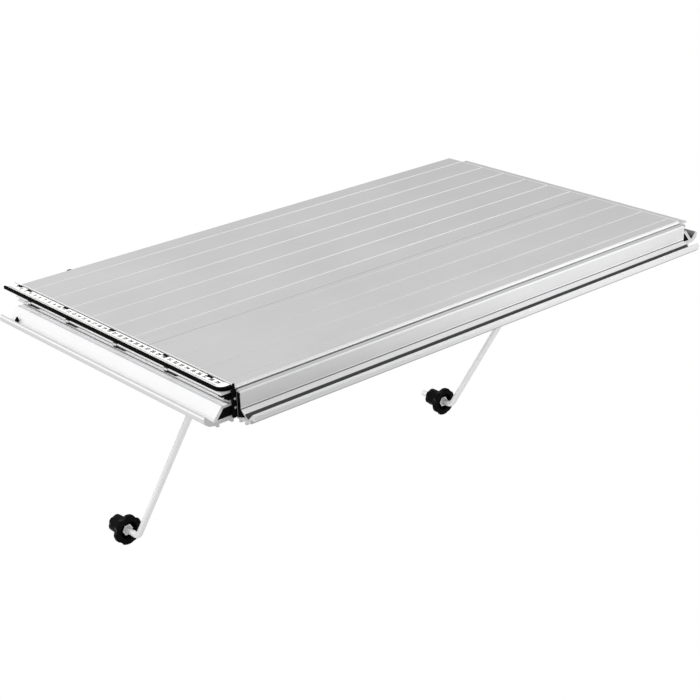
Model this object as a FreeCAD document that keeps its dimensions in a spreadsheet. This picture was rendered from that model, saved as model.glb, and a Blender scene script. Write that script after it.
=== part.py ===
import FreeCAD, Part
import math
import os
import Sketcher

# A side extension for a saw table: a grooved deck of two planks framed by four rails,
# a sliding ruler on the left rail, and two struts that swing down to the saw's body.
#
# +X runs along the deck's long side, to the right as seen from the front.
# +Y runs towards the saw, and +Z runs up.
# The origin is the middle of the saw-side face, on the axis of the two clamp screws.
# A rail's section is drawn with across counted outwards from the deck's edge,
# and up counted from the work surface, so most of its heights are below zero.

SIZES = {
    # deck
    "deck_length": 690.0,
    "deck_width": 400.0,
    "work_height": 25.0,
    "front_plank_width": 145.0,
    "skin": 3.0,
    "plank_depth": 15.0,
    "nose": 2.0,
    "plank_bevel": 0.6,
    "edge_wall": 2.5,
    "lap_reach": 5.5,
    "lap_thickness": 2.0,
    "lap_root": 16.0,
    "groove_spacing": 40.0,
    "groove_inset": 15.0,
    "groove_width": 1.6,
    "groove_depth": 0.8,
    "rib": 2.0,
    "rib_foot_width": 14.0,
    "rib_foot": 2.5,
    "rear_foot_width": 15.0,
    # rails, shared
    "ledge": 2.5,
    "ledge_reach": 17.0,
    "rail_floor_depth": 35.0,
    "foot_depth": 38.0,
    "foot_width": 2.5,
    "foot_inset": 3.0,
    "trough_depth": 31.0,
    "trough_floor": 3.0,
    "flange_depth": 22.6,
    "flange_rise_run": 8.2,
    "flange_thickness": 3.0,
    "flange_heel": 5.0,
    "flange_overhang": 3.5,
    "corner_round": 0.8,
    "flange_round": 1.3,
    # front rail
    "front_top_drop": 2.6,
    "front_crest": 3.4,
    "front_ledge_fall": 1.6,
    "front_wall_reach": 9.6,
    "front_wall_depth": 22.6,
    "front_notch": 0.7,
    "front_trough_reach": 20.0,
    "front_skin": 1.0,
    "front_top_skin": 1.4,
    "front_chamber_reach": 15.6,
    "front_chamber_depth": 30.2,
    "front_floor": 1.2,
    # side rails
    "side_rail_gap": 17.0,
    "shelf_drop": 4.0,
    "lip_reach": 17.0,
    "lip": 2.2,
    "slot_wall": 4.0,
    "slot_mouth": 2.9,
    "slot_depth": 14.2,
    "slot_ramp_reach": 7.4,
    "hook_reach": 15.2,
    "hook": 2.0,
    "hook_floor_depth": 10.8,
    "hook_depth": 11.4,
    "notch_reach": 6.2,
    "notch_depth": 17.0,
    "side_top_reach": 16.9,
    "side_trough_reach": 28.2,
    "side_inner_skin": 2.5,
    "side_web": 3.0,
    "side_skin": 4.8,
    "side_floor": 4.4,
    # rail end caps
    "cap_thickness": 6.0,
    "cap_recess": 0.4,
    "cap_gap": 0.15,
    # saw-side rail
    "channel_reach": 28.0,
    "channel_wall": 2.5,
    # cross beams
    "beam_inset": 77.0,
    "beam_width": 30.0,
    "beam_wall": 2.5,
    # corner strip
    "strip_width": 4.8,
    "strip_thickness": 3.1,
    "strip_top_depth": 4.0,
    "strip_bottom_depth": 33.0,
    "strip_bevel": 0.5,
    "strip_prong_inset": 0.4,
    "strip_prong_width": 2.2,
    "strip_prong_rise": 2.4,
    "strip_screw_spacing": 9.5,
    "strip_screw_depth": 12.6,
    "strip_head_radius": 1.25,
    "strip_head": 0.5,
    "strip_shank_radius": 0.7,
    "strip_shank": 1.6,
    # deck screws
    "screw_radius": 2.0,
    "screw_head_radius": 4.0,
    "screw_head": 2.4,
    "screw_tip": 1.5,
    "screw_offset": 4.0,
    "screw_gap": 0.05,
    # clamp screws
    "clamp_inset": 66.0,
    "clamp_radius": 4.0,
    "clamp_reach": 16.0,
    "clamp_head_radius": 7.5,
    "clamp_head": 5.3,
    "clamp_gap": 0.2,
    "clamp_neck": 0.3,
    "lug_width": 5.0,
    "lug_reach": 3.0,
    "lug_top_depth": 0.3,
    "lug_depth": 8.0,
    # struts
    "pivot_inset": 133.0,
    "pivot_depth": 28.0,
    "strut_run": 188.7,
    "strut_drop": 301.6,
    "strut_radius": 4.0,
    "strut_bend": 13.0,
    "strut_leg": 58.3,
    "strut_tip_bevel": 0.8,
    "undercut_depth": 0.4,
    "undercut_width": 1.0,
    "undercut_reach": 0.2,
    "eye_radius": 8.0,
    "eye_length": 24.4,
    "pivot_radius": 4.0,
    "pivot_gap": 0.05,
    "pivot_head_radius": 7.5,
    "pivot_head": 5.3,
    "pivot_nut": 6.5,
    "pivot_tip": 1.5,
    # knobs
    "left_stub": 8.5,
    "right_stub": 16.0,
    "knob_length": 29.5,
    "knob_head_radius": 19.4,
    "knob_head": 5.5,
    "knob_waist": 13.5,
    "knob_waist_radius": 11.0,
    "knob_end_radius": 11.4,
    "knob_bevel": 1.2,
    "knob_recess_radius": 11.8,
    "knob_recess": 8.5,
    "knob_scallop_radius": 9.0,
    "knob_scallop_reach": 27.1,
    "knob_scallop_fall": 8.2,
    "knob_gap": 0.05,
    "knob_nut_radius": 7.5,
    "knob_nut": 6.0,
    # ruler
    "ruler_length": 411.0,
    "ruler_inset": 1.5,
    "ruler_reach": 16.2,
    "ruler_gap": 0.05,
    "ruler_bevel": 0.8,
    "ruler_near_gap": 0.3,
    "ruler_corner": 12.0,
    "scale_reach": 14.2,
    "scale_thickness": 0.9,
    "scale_near_margin": 4.0,
    "scale_corner": 8.0,
    "clip_length": 18.0,
    "clip_tab_length": 5.0,
    "clip_tab": 0.9,
    "clip_tab_top": 2.4,
    "clip_foot_inset": 8.0,
    "clip_foot": 2.2,
    "clip_gap": 0.25,
    "stud_length": 9.5,
    "stud_width": 3.8,
    "stud_inset": 1.9,
    "stud_gap": 0.05,
    "stud_rise": 0.1,
}

# Along the ruler, from its near end, as shares of its length.
CLIP_SHARES = (0.205, 0.428, 0.653, 0.844)
STUD_SHARES = (0.072, 0.255, 0.493, 0.715, 0.901, 0.951)

# Screw places, as shares of the deck's length and of half the saw-side rail's length.
FRONT_SCREW_SHARES = (0.17, 0.5, 0.83)
REAR_SCREW_SHARES = (-0.65, 0, 0.65)

KNOB_LOBES = 6
KNOB_TURN = 42
HEX_SIDES = 6


class Size:
    """A length worked out from the sheet: its value now, and the expression that keeps it bound."""

    def __init__(self, value, text):
        self.value = value
        self.text = text

    def __add__(self, other):
        other = as_size(other)
        return Size(self.value + other.value, "(%s + %s)" % (self.text, other.text))

    def __radd__(self, other):
        return as_size(other) + self

    def __sub__(self, other):
        other = as_size(other)
        return Size(self.value - other.value, "(%s - %s)" % (self.text, other.text))

    def __rsub__(self, other):
        return as_size(other) - self

    def __neg__(self):
        return Size(-self.value, "(0 - %s)" % self.text)

    def __mul__(self, factor):
        return Size(self.value * factor, "(%s * %.9g)" % (self.text, factor))

    __rmul__ = __mul__

    def __truediv__(self, factor):
        return Size(self.value / factor, "(%s / %.9g)" % (self.text, factor))


def as_size(number):
    if isinstance(number, Size):
        return number
    return Size(float(number), "%.9g" % number)


class Sheet:
    """The driving dimensions, each an attribute that is a Size."""

    def __init__(self, document, table):
        cells = document.addObject("Spreadsheet::Sheet", "Sizes")
        for row, (alias, value) in enumerate(table.items(), start=1):
            cells.set("A%d" % row, alias)
            cells.set("B%d" % row, "%.9g" % value)
            cells.setAlias("B%d" % row, alias)
            setattr(self, alias, Size(value, "Sizes." + alias))


doc = FreeCAD.newDocument("saw_table_extension")
size = Sheet(doc, SIZES)
doc.recompute()
subparts = []

X_AXIS = FreeCAD.Vector(1, 0, 0)
Y_AXIS = FreeCAD.Vector(0, 1, 0)
Z_AXIS = FreeCAD.Vector(0, 0, 1)


# Helpers: placing, sketching and shaping


def place(thing, x, y, z, axis=Z_AXIS, degrees=0):
    """Put a sub-part or primitive at a place that stays bound to the sheet."""
    corner = [as_size(number) for number in (x, y, z)]
    thing.Placement = FreeCAD.Placement(
        FreeCAD.Vector(*[number.value for number in corner]), FreeCAD.Rotation(axis, degrees)
    )
    for letter, number in zip("xyz", corner):
        thing.setExpression("Placement.Base." + letter, number.text)


def new_body(label):
    body = doc.addObject("PartDesign::Body", label)
    body.Label = label
    subparts.append(body)
    return body


def origin_feature(body, role):
    return next(feature for feature in body.Origin.OriginFeatures if feature.Role == role)


def new_sketch(body, role, offset=None):
    """A sketch on one of the body's own origin planes, moved along the plane's normal by offset."""
    sketch = body.newObject("Sketcher::SketchObject", body.Label + "_sketch")
    sketch.AttachmentSupport = [(origin_feature(body, role), "")]
    sketch.MapMode = "FlatFace"
    if offset is not None:
        sketch.setExpression("AttachmentOffset.Base.z", as_size(offset).text)
    return sketch


def hold(sketch, edge, end, across, up):
    """Tie one point of an edge to the sketch's origin by its two distances."""
    for kind, axis, distance in (("DistanceX", -2, across), ("DistanceY", -1, up)):
        distance = as_size(distance)
        if distance.value == 0:
            sketch.addConstraint(Sketcher.Constraint("PointOnObject", edge, end, axis))
            continue
        number = sketch.addConstraint(Sketcher.Constraint(kind, -1, 1, edge, end, distance.value))
        sketch.setExpression("Constraints[%d]" % number, distance.text)


def outline(sketch, points):
    """Draw a closed loop of straight edges through points, each point tied to the origin."""
    points = [(as_size(across), as_size(up)) for across, up in points]
    first = sketch.GeometryCount
    count = len(points)
    corners = [FreeCAD.Vector(across.value, up.value, 0) for across, up in points]
    edges = [Part.LineSegment(corners[i], corners[(i + 1) % count]) for i in range(count)]
    sketch.addGeometry(edges, False)
    joints = [
        Sketcher.Constraint("Coincident", first + i, 2, first + (i + 1) % count, 1) for i in range(count)
    ]
    sketch.addConstraint(joints)
    for i, (across, up) in enumerate(points):
        hold(sketch, first + i, 1, across, up)


def ring(sketch, across, up, radius):
    """Draw a circle with its centre tied to the origin and its radius bound."""
    across, up, radius = as_size(across), as_size(up), as_size(radius)
    centre = FreeCAD.Vector(across.value, up.value, 0)
    edge = sketch.addGeometry(Part.Circle(centre, Z_AXIS, radius.value), False)
    hold(sketch, edge, 3, across, up)
    number = sketch.addConstraint(Sketcher.Constraint("Radius", edge, radius.value))
    sketch.setExpression("Constraints[%d]" % number, radius.text)


def pad(body, sketch, length, towards_plus=True, both_ways=False):
    """Pad a sketch. On the XZ plane the plain direction is -Y, so +Y is the reversed one."""
    feature = body.newObject("PartDesign::Pad", body.Label + "_pad")
    feature.Profile = sketch
    feature.setExpression("Length", as_size(length).text)
    if both_ways:
        feature.SideType = "Symmetric"
    elif sketch.AttachmentSupport[0][0].Role == "XZ_Plane":
        feature.Reversed = towards_plus
    else:
        feature.Reversed = not towards_plus
    doc.recompute()
    return feature


def pocket(body, sketch, length=None, towards_plus=True, both_ways=False):
    """Cut a sketch away, through everything if no length is given."""
    before = body.Shape.Volume
    feature = body.newObject("PartDesign::Pocket", body.Label + "_pocket")
    feature.Profile = sketch
    if length is None:
        feature.Type = "ThroughAll"
    else:
        feature.setExpression("Length", as_size(length).text)
    if both_ways:
        feature.SideType = "Symmetric"
    elif sketch.AttachmentSupport[0][0].Role == "XZ_Plane":
        feature.Reversed = not towards_plus
    else:
        feature.Reversed = towards_plus
    doc.recompute()
    if not body.Shape.Volume < before:
        raise RuntimeError("%s: a cut removed nothing" % body.Label)
    return feature


def repeat(body, feature, sketch, pitch, count):
    """Repeat a feature along its sketch's across axis."""
    if count < 2:
        return feature
    pattern = body.newObject("PartDesign::LinearPattern", body.Label + "_row")
    pattern.Originals = [feature]
    pattern.Direction = (sketch, ["H_Axis"])
    pattern.Mode = "Spacing"
    pattern.setExpression("Offset", as_size(pitch).text)
    pattern.Occurrences = count
    body.Tip = pattern
    doc.recompute()
    return pattern


def edges_along(shape, direction, places, tolerance=0.02):
    """Name the straight edges that run along a direction through one of the given local places."""
    names = []
    for number, edge in enumerate(shape.Edges, start=1):
        if not isinstance(edge.Curve, Part.Line):
            continue
        if abs(abs(edge.tangentAt(edge.FirstParameter).dot(direction)) - 1) > tolerance:
            continue
        start = edge.Vertexes[0].Point
        for spot in places:
            gap = start - spot
            if (gap - direction * gap.dot(direction)).Length < tolerance:
                names.append("Edge%d" % number)
                break
    return names


def round_corners(body, direction, places, radius):
    """Fillet the edges that run along a direction through the given places of the body's own frame."""
    base = body.Tip
    names = edges_along(base.Shape, direction, places)
    if len(names) < len(places):
        raise RuntimeError("%s: only %d of %d corners found" % (body.Label, len(names), len(places)))
    feature = body.newObject("PartDesign::Fillet", body.Label + "_round")
    feature.Base = (base, names)
    feature.setExpression("Radius", as_size(radius).text)
    doc.recompute()
    return feature


def bevel_edges(body, amount, chosen):
    """Chamfer the edges of the body's own frame that a test picks out."""
    base = body.Tip
    names = ["Edge%d" % number for number, edge in enumerate(base.Shape.Edges, start=1) if chosen(edge)]
    if not names:
        raise RuntimeError("%s: no edge to bevel" % body.Label)
    feature = body.newObject("PartDesign::Chamfer", body.Label + "_bevel")
    feature.Base = (base, names)
    feature.setExpression("Size", as_size(amount).text)
    doc.recompute()
    return feature


def section_place(across, up):
    """A place of a section drawn on the XZ plane."""
    return FreeCAD.Vector(as_size(across).value, 0, as_size(up).value)


def cylinder(radius, height, x, y, z, axis=Z_AXIS, degrees=0):
    solid = doc.addObject("Part::Cylinder", "round")
    solid.setExpression("Radius", as_size(radius).text)
    solid.setExpression("Height", as_size(height).text)
    place(solid, x, y, z, axis, degrees)
    return solid


def hexagon(radius, height, x, y, z, axis=Z_AXIS, degrees=0):
    solid = doc.addObject("Part::Prism", "hexagon")
    solid.Polygon = HEX_SIDES
    solid.setExpression("Circumradius", as_size(radius).text)
    solid.setExpression("Height", as_size(height).text)
    place(solid, x, y, z, axis, degrees)
    return solid


def fused(*solids):
    joined = doc.addObject("Part::MultiFuse", "joined")
    joined.Shapes = list(solids)
    return joined


def bored(solid, tool):
    cut = doc.addObject("Part::Cut", "bored")
    cut.Base = solid
    cut.Tool = tool
    return cut


def group(label, solids):
    """One node that holds several separate solids, such as a set of like screws."""
    compound = doc.addObject("Part::Compound", label)
    compound.Label = label
    compound.Links = solids
    doc.recompute()
    subparts.append(compound)
    return compound


# Places that several sub-parts share


def rib_place(number):
    """How far a rib and its groove lie behind the deck's front edge."""
    return size.groove_inset + size.groove_spacing * number


def screw_place(number):
    """How far a screw through a rib's foot lies behind the deck's front edge."""
    return rib_place(number) + size.screw_offset


half_length = size.deck_length / 2
beam_x = half_length - size.beam_inset
clamp_x = half_length - size.clamp_inset
front_y = -size.deck_width
joint_y = front_y + size.front_plank_width
rear_plank_width = size.deck_width - size.front_plank_width
front_ribs = 1 + int(
    (size.front_plank_width - size.groove_inset - size.lap_reach).value // size.groove_spacing.value
)
rear_ribs = 1 + int(
    (size.deck_width - size.rear_foot_width - size.rib_foot_width / 2 - rib_place(front_ribs)).value
    // size.groove_spacing.value
)
last_rib = front_ribs + rear_ribs - 1
rail_screw_ribs = (1, front_ribs, last_rib - 1)
beam_screw_ribs = (1, last_rib - 1)
ledge_middle = size.ledge_reach / 2
side_rail_length = size.deck_width - size.side_rail_gap
side_rail_far_y = -size.side_rail_gap
channel_half_length = half_length - size.ledge_reach
channel_y = -size.channel_reach
beam_y = front_y + size.ledge_reach
beam_length = channel_y - beam_y
beam_depth = size.rail_floor_depth - size.plank_depth
pivot_y = front_y + size.pivot_inset
pivot_z = size.work_height - size.pivot_depth
screw_bore = size.screw_radius + size.screw_gap


# Deck planks


def plank_ribs(body, first, count):
    """T-shaped ribs under the skin, each below a groove in the top."""
    foot_top = size.rib_foot - size.plank_depth
    half_rib = size.rib / 2
    half_foot = size.rib_foot_width / 2
    sketch = new_sketch(body, "YZ_Plane")
    outline(sketch, [
        (first - half_rib, -size.skin),
        (first - half_rib, foot_top),
        (first - half_foot, foot_top),
        (first - half_foot, -size.plank_depth),
        (first + half_foot, -size.plank_depth),
        (first + half_foot, foot_top),
        (first + half_rib, foot_top),
        (first + half_rib, -size.skin),
    ])
    repeat(body, pad(body, sketch, size.deck_length), sketch, size.groove_spacing, count)


def plank_grooves(body, first, count):
    half_groove = size.groove_width / 2
    sketch = new_sketch(body, "YZ_Plane")
    outline(sketch, [(first - half_groove, 0), (first, -size.groove_depth), (first + half_groove, 0)])
    repeat(body, pocket(body, sketch), sketch, size.groove_spacing, count)


def plank_holes(body, places):
    """Holes for the screws that come up through the ribs' feet."""
    sketch = new_sketch(body, "XY_Plane", -size.plank_depth)
    for x, y in places:
        ring(sketch, x, y, screw_bore)
    pocket(body, sketch, size.rib_foot + size.screw_tip)


def screw_places(ribs, from_y):
    """Where the screws of some ribs lie on a plank, counted from the plank's own corner."""
    places = []
    for number in ribs:
        along = screw_place(number) - from_y
        if number in rail_screw_ribs:
            places.append((ledge_middle, along))
            places.append((size.deck_length - ledge_middle, along))
        if number in beam_screw_ribs:
            places.append((half_length - beam_x, along))
            places.append((half_length + beam_x, along))
    return places


front_screw_x = [size.deck_length * share for share in FRONT_SCREW_SHARES]
rear_screw_x = [channel_half_length * share for share in REAR_SCREW_SHARES]
rear_screw_y = -size.rear_foot_width * 0.6


def make_front_plank():
    body = new_body("front_plank")
    width = size.front_plank_width
    wall = size.edge_wall - size.nose
    sketch = new_sketch(body, "YZ_Plane")
    outline(sketch, [
        (0, 0),
        (-size.nose, -size.nose),
        (-size.nose, -size.plank_depth),
        (wall, -size.plank_depth),
        (wall, -size.skin),
        (width, -size.skin),
        (width, -size.plank_bevel),
        (width - size.plank_bevel, 0),
    ])
    pad(body, sketch, size.deck_length)
    plank_ribs(body, size.groove_inset, front_ribs)
    plank_grooves(body, size.groove_inset, front_ribs)
    places = screw_places(range(front_ribs), as_size(0))
    places += [(x, size.groove_inset - size.screw_offset) for x in front_screw_x]
    plank_holes(body, places)
    place(body, -half_length, front_y, size.work_height)


def make_rear_plank():
    body = new_body("rear_plank")
    first = rib_place(front_ribs) - size.front_plank_width
    sketch = new_sketch(body, "YZ_Plane")
    outline(sketch, [
        (size.plank_bevel, 0),
        (0, -size.plank_bevel),
        (0, -size.skin),
        (-size.lap_reach, -size.skin),
        (-size.lap_reach, -size.skin - size.lap_thickness),
        (size.lap_root, -size.skin - size.lap_thickness),
        (size.lap_root, -size.skin),
        (rear_plank_width - size.edge_wall, -size.skin),
        (rear_plank_width - size.edge_wall, size.rib_foot - size.plank_depth),
        (rear_plank_width - size.rear_foot_width, size.rib_foot - size.plank_depth),
        (rear_plank_width - size.rear_foot_width, -size.plank_depth),
        (rear_plank_width, -size.plank_depth),
        (rear_plank_width, -size.plank_bevel),
        (rear_plank_width - size.plank_bevel, 0),
    ])
    pad(body, sketch, size.deck_length)
    plank_ribs(body, first, rear_ribs)
    plank_grooves(body, first, rear_ribs)
    places = screw_places(range(front_ribs, front_ribs + rear_ribs), size.front_plank_width)
    places += [(half_length + x, rear_plank_width + rear_screw_y) for x in rear_screw_x]
    plank_holes(body, places)
    place(body, -half_length, joint_y, size.work_height)


# Rails


def flange_outline(trough):
    """The trough's far side and the upright flange, shared by the front and the side rails.

    The points run from the trough's bottom, up the flange's inner face, over its tip
    and down its outer face to the rail's floor.
    """
    rise = size.trough_depth - size.flange_depth
    tip = trough + size.flange_rise_run
    return [
        (trough, -size.trough_depth),
        (tip, -size.flange_depth),
        (tip + size.flange_thickness, -size.flange_depth - size.flange_thickness * 0.6),
        (tip + size.flange_thickness * 0.7, -size.flange_depth - rise * 0.9),
        (trough + size.flange_heel, -size.trough_depth - size.trough_floor),
        (trough, -size.rail_floor_depth),
    ]


def feet_outline(outer, inner):
    """The rail's underside between its two small feet, from the outer foot to the inner one."""
    return [
        (outer, -size.rail_floor_depth),
        (outer, -size.foot_depth),
        (outer - size.foot_width, -size.foot_depth),
        (outer - size.foot_width, -size.rail_floor_depth),
        (inner + size.foot_inset + size.foot_width, -size.rail_floor_depth),
        (inner + size.foot_inset + size.foot_width, -size.foot_depth),
        (inner + size.foot_inset, -size.foot_depth),
        (inner + size.foot_inset, -size.rail_floor_depth),
        (inner, -size.rail_floor_depth),
    ]


def ledge_outline(inner):
    """The ledge that the planks rest on, from its lower root round to its upper one."""
    return [
        (inner, -size.plank_depth - size.ledge),
        (-size.ledge_reach, -size.plank_depth - size.ledge),
        (-size.ledge_reach, -size.plank_depth),
        (inner, -size.plank_depth),
    ]


def side_section():
    """The side rails' outer outline: shelf, hooked slot, V notch, box, trough, flange, feet and ledge."""
    slot_top = -size.shelf_drop - size.lip
    return [
        (0, -size.shelf_drop),
        (size.lip_reach, -size.shelf_drop),
        (size.lip_reach, slot_top),
        (size.slot_wall, slot_top),
        (size.slot_wall, -size.slot_depth),
        (size.slot_ramp_reach, -size.slot_depth),
        (size.hook_reach - size.hook, -size.hook_floor_depth),
        (size.hook_reach - size.hook, slot_top - size.slot_mouth),
        (size.hook_reach, slot_top - size.slot_mouth),
        (size.hook_reach, -size.hook_depth),
        (size.notch_reach, -size.notch_depth),
        (size.side_top_reach, -size.notch_depth),
    ] + flange_outline(size.side_trough_reach) + feet_outline(
        size.side_trough_reach - size.flange_heel, as_size(0)
    ) + ledge_outline(0)


def side_chamber(gap):
    """The side rails' box chamber, drawn in by gap on every side."""
    top = size.notch_depth + size.side_web + gap
    floor = size.rail_floor_depth - size.side_floor - gap
    lean = (size.side_trough_reach - size.side_top_reach).value / (size.trough_depth - size.notch_depth).value
    skin = size.side_skin + gap
    return [
        (size.side_inner_skin + gap, -top),
        (size.side_top_reach + (top - size.notch_depth) * lean - skin, -top),
        (size.side_top_reach + (floor - size.notch_depth) * lean - skin, -floor),
        (size.side_inner_skin + gap, -floor),
    ]


def slot_plug(gap):
    """What closes the hooked slot at a rail's end."""
    slot_top = -size.shelf_drop - size.lip
    mouth_floor = slot_top - size.slot_mouth
    return [
        (size.slot_wall + gap, slot_top - gap),
        (size.hook_reach, slot_top - gap),
        (size.hook_reach, mouth_floor + gap),
        (size.hook_reach - size.hook - gap, mouth_floor + gap),
        (size.hook_reach - size.hook - gap, gap - size.hook_floor_depth),
        (size.slot_ramp_reach, gap - size.slot_depth),
        (size.slot_wall + gap, gap - size.slot_depth),
    ]


def front_section():
    """The front rail's outer outline, from the groove beside the deck's nose outwards."""
    reach = size.front_wall_reach
    top = -size.front_top_drop
    notch = size.front_notch
    diagonal_top = -size.front_wall_depth - notch
    return [
        (size.nose, top - notch),
        (size.front_crest, top),
        (reach, top - size.front_ledge_fall),
        (reach, -size.front_wall_depth),
        (reach - notch, -size.front_wall_depth - notch * 0.5),
        (reach, diagonal_top),
    ] + flange_outline(size.front_trough_reach) + feet_outline(
        size.front_trough_reach - size.flange_heel * 0.7, size.nose
    ) + ledge_outline(size.nose)


def front_chamber(gap):
    """The front rail's box chamber, drawn in by gap on every side. Its floor rises outwards."""
    inner = size.nose + size.front_skin + gap
    outer = size.front_wall_reach - size.front_skin - gap
    top = size.front_top_drop + size.front_ledge_fall + size.front_top_skin + gap
    return [
        (inner, -top),
        (outer, -top),
        (outer, -size.front_wall_depth - size.front_skin - gap),
        (size.front_chamber_reach - gap * 2, -size.front_chamber_depth),
        (inner, size.front_floor + gap - size.rail_floor_depth),
    ]


def extrude_rail(body, section, chamber, trough, length, long_start=False):
    """Extrude a rail. At the end away from the ruler's corner its flange stands a little further out."""
    sketch = new_sketch(body, "XZ_Plane")
    outline(sketch, section)
    outline(sketch, chamber)
    pad(body, sketch, length)
    points = flange_outline(trough)
    round_corners(body, Y_AXIS, [section_place(*points[0])], size.flange_round)
    sketch = new_sketch(body, "XZ_Plane", size.flange_overhang if long_start else None)
    outline(sketch, points)
    pad(body, sketch, length + size.flange_overhang)
    tip = [section_place(*points[number]) for number in (1, 2)]
    heel = [section_place(*points[number]) for number in (3, 4)]
    round_corners(body, Y_AXIS, tip, size.flange_round)
    round_corners(body, Y_AXIS, heel, size.flange_heel * 0.6)


def make_side_rail(label, right):
    """A side rail. Its ledge is cut back at the near end, where the front rail's ledge passes."""
    body = new_body(label)
    chamber = side_chamber(0)
    extrude_rail(body, side_section(), chamber, size.side_trough_reach, side_rail_length, not right)
    slot_top = -size.shelf_drop - size.lip
    softened = [
        (size.lip_reach, -size.shelf_drop),
        (size.lip_reach, slot_top),
        (size.hook_reach, -size.hook_depth),
        (size.side_top_reach, -size.notch_depth),
    ]
    round_corners(body, Y_AXIS, [section_place(*spot) for spot in softened], size.corner_round)
    sketch = new_sketch(body, "XY_Plane", -size.plank_depth)
    for number in rail_screw_ribs:
        along = screw_place(number)
        if not right:
            along = side_rail_length - along
        ring(sketch, -ledge_middle, along, screw_bore)
    near, cope = (as_size(0), size.ledge_reach)
    if not right:
        near, cope = (side_rail_length, side_rail_length - size.ledge_reach)
    reach = size.ledge_reach
    outline(sketch, [(0, near), (0, cope), (-reach, cope), (-reach, near)])
    pocket(body, sketch, size.ledge, towards_plus=False)
    if right:
        place(body, half_length, front_y, size.work_height)
    else:
        place(body, -half_length, side_rail_far_y, size.work_height, Z_AXIS, 180)


def make_front_rail():
    body = new_body("front_rail")
    extrude_rail(body, front_section(), front_chamber(0), size.front_trough_reach, size.deck_length)
    crest = [
        section_place(size.front_wall_reach, -size.front_top_drop - size.front_ledge_fall),
    ]
    round_corners(body, Y_AXIS, crest, size.corner_round)
    sketch = new_sketch(body, "XY_Plane", -size.plank_depth)
    for x in front_screw_x:
        ring(sketch, size.screw_offset - size.groove_inset, x, screw_bore)
    pocket(body, sketch, size.ledge, towards_plus=False)
    place(body, -half_length, front_y, size.work_height, Z_AXIS, -90)


def make_rear_rail():
    """A channel under the saw-side edge, open inwards so that the clamp screws can be reached."""
    body = new_body("rear_rail")
    wall = size.channel_wall
    top = -size.plank_depth
    floor = -size.rail_floor_depth
    sketch = new_sketch(body, "XZ_Plane")
    outline(sketch, [
        (0, top),
        (0, floor),
        (-size.channel_reach, floor),
        (-size.channel_reach, floor + wall),
        (-wall, floor + wall),
        (-wall, top - wall),
        (-size.channel_reach, top - wall),
        (-size.channel_reach, top),
    ])
    pad(body, sketch, channel_half_length * 2)
    corners = [section_place(-wall, floor + wall), section_place(-wall, top - wall)]
    round_corners(body, Y_AXIS, corners, size.corner_round)
    sketch = new_sketch(body, "XY_Plane", top)
    for x in rear_screw_x:
        ring(sketch, rear_screw_y, channel_half_length - x, screw_bore)
    pocket(body, sketch, wall, towards_plus=False)
    sketch = new_sketch(body, "YZ_Plane")
    for side in (-1, 1):
        middle = channel_half_length + clamp_x * side
        ring(sketch, middle, -size.work_height, size.clamp_radius + size.clamp_gap)
    pocket(body, sketch, wall, towards_plus=False)
    place(body, channel_half_length, 0, size.work_height, Z_AXIS, 90)


# Rail end caps and the corner strip


def cap_solid(section, right_side, near, y):
    """One plug, pushed into a rail's end until it sits a little below the cut face."""
    plug = doc.addObject("PartDesign::Body", "plug")
    sketch = new_sketch(plug, "XZ_Plane")
    outline(sketch, section)
    pad(plug, sketch, size.cap_thickness)
    inwards = size.cap_recess if near else -size.cap_recess - size.cap_thickness
    if right_side:
        place(plug, half_length, y + inwards, size.work_height)
    else:
        place(plug, -half_length, y + inwards + size.cap_thickness, size.work_height, Z_AXIS, 180)
    return plug


def make_side_caps(label, right):
    """Plugs for both ends of the box chamber, and on the ruler's side for the slot's near end.

    The other ends of the slots stay open, so that a slide can enter and the ruler's hooks can pass.
    """
    chamber = side_chamber(size.cap_gap)
    plugs = [
        cap_solid(chamber, right, True, front_y),
        cap_solid(chamber, right, False, side_rail_far_y),
    ]
    if not right:
        plugs.append(cap_solid(slot_plug(size.cap_gap), right, True, front_y))
    group(label, plugs)


def make_front_caps():
    plugs = []
    for side in (-1, 1):
        plug = doc.addObject("PartDesign::Body", "plug")
        sketch = new_sketch(plug, "XZ_Plane")
        outline(sketch, front_chamber(size.cap_gap))
        pad(plug, sketch, size.cap_thickness)
        if side < 0:
            x = size.cap_recess - half_length
        else:
            x = half_length - size.cap_recess - size.cap_thickness
        place(plug, x, front_y, size.work_height, Z_AXIS, -90)
        plugs.append(plug)
    group("front_rail_caps", plugs)


def make_corner_strip():
    """A flat strip over the side rail's cut end, with a prong that stops the ruler's near end."""
    body = new_body("corner_strip")
    width, thickness = size.strip_width, size.strip_thickness
    sketch = new_sketch(body, "XY_Plane", -size.strip_bottom_depth)
    outline(sketch, [(0, 0), (0, -thickness), (-width, -thickness), (-width, 0)])
    pad(body, sketch, size.strip_bottom_depth - size.strip_top_depth)
    corners = [
        FreeCAD.Vector(0, -thickness.value, 0),
        FreeCAD.Vector(-width.value, -thickness.value, 0),
    ]
    round_corners(body, Z_AXIS, corners, size.strip_bevel)
    sketch = new_sketch(body, "XY_Plane", -size.strip_top_depth)
    prong = -size.strip_prong_inset - size.strip_prong_width
    outline(sketch, [
        (-size.strip_prong_inset, 0),
        (-size.strip_prong_inset, -thickness / 2),
        (prong, -thickness / 2),
        (prong, 0),
    ])
    pad(body, sketch, size.strip_top_depth + size.strip_prong_rise)
    sketch = new_sketch(body, "XZ_Plane", thickness)
    for depth in strip_screw_depths:
        ring(sketch, -width / 2, -depth, size.strip_shank_radius + size.screw_gap)
    pocket(body, sketch, size.strip_shank)
    place(body, -half_length, front_y, size.work_height)


strip_screw_depths = (size.strip_screw_depth, size.strip_screw_depth + size.strip_screw_spacing)


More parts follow.
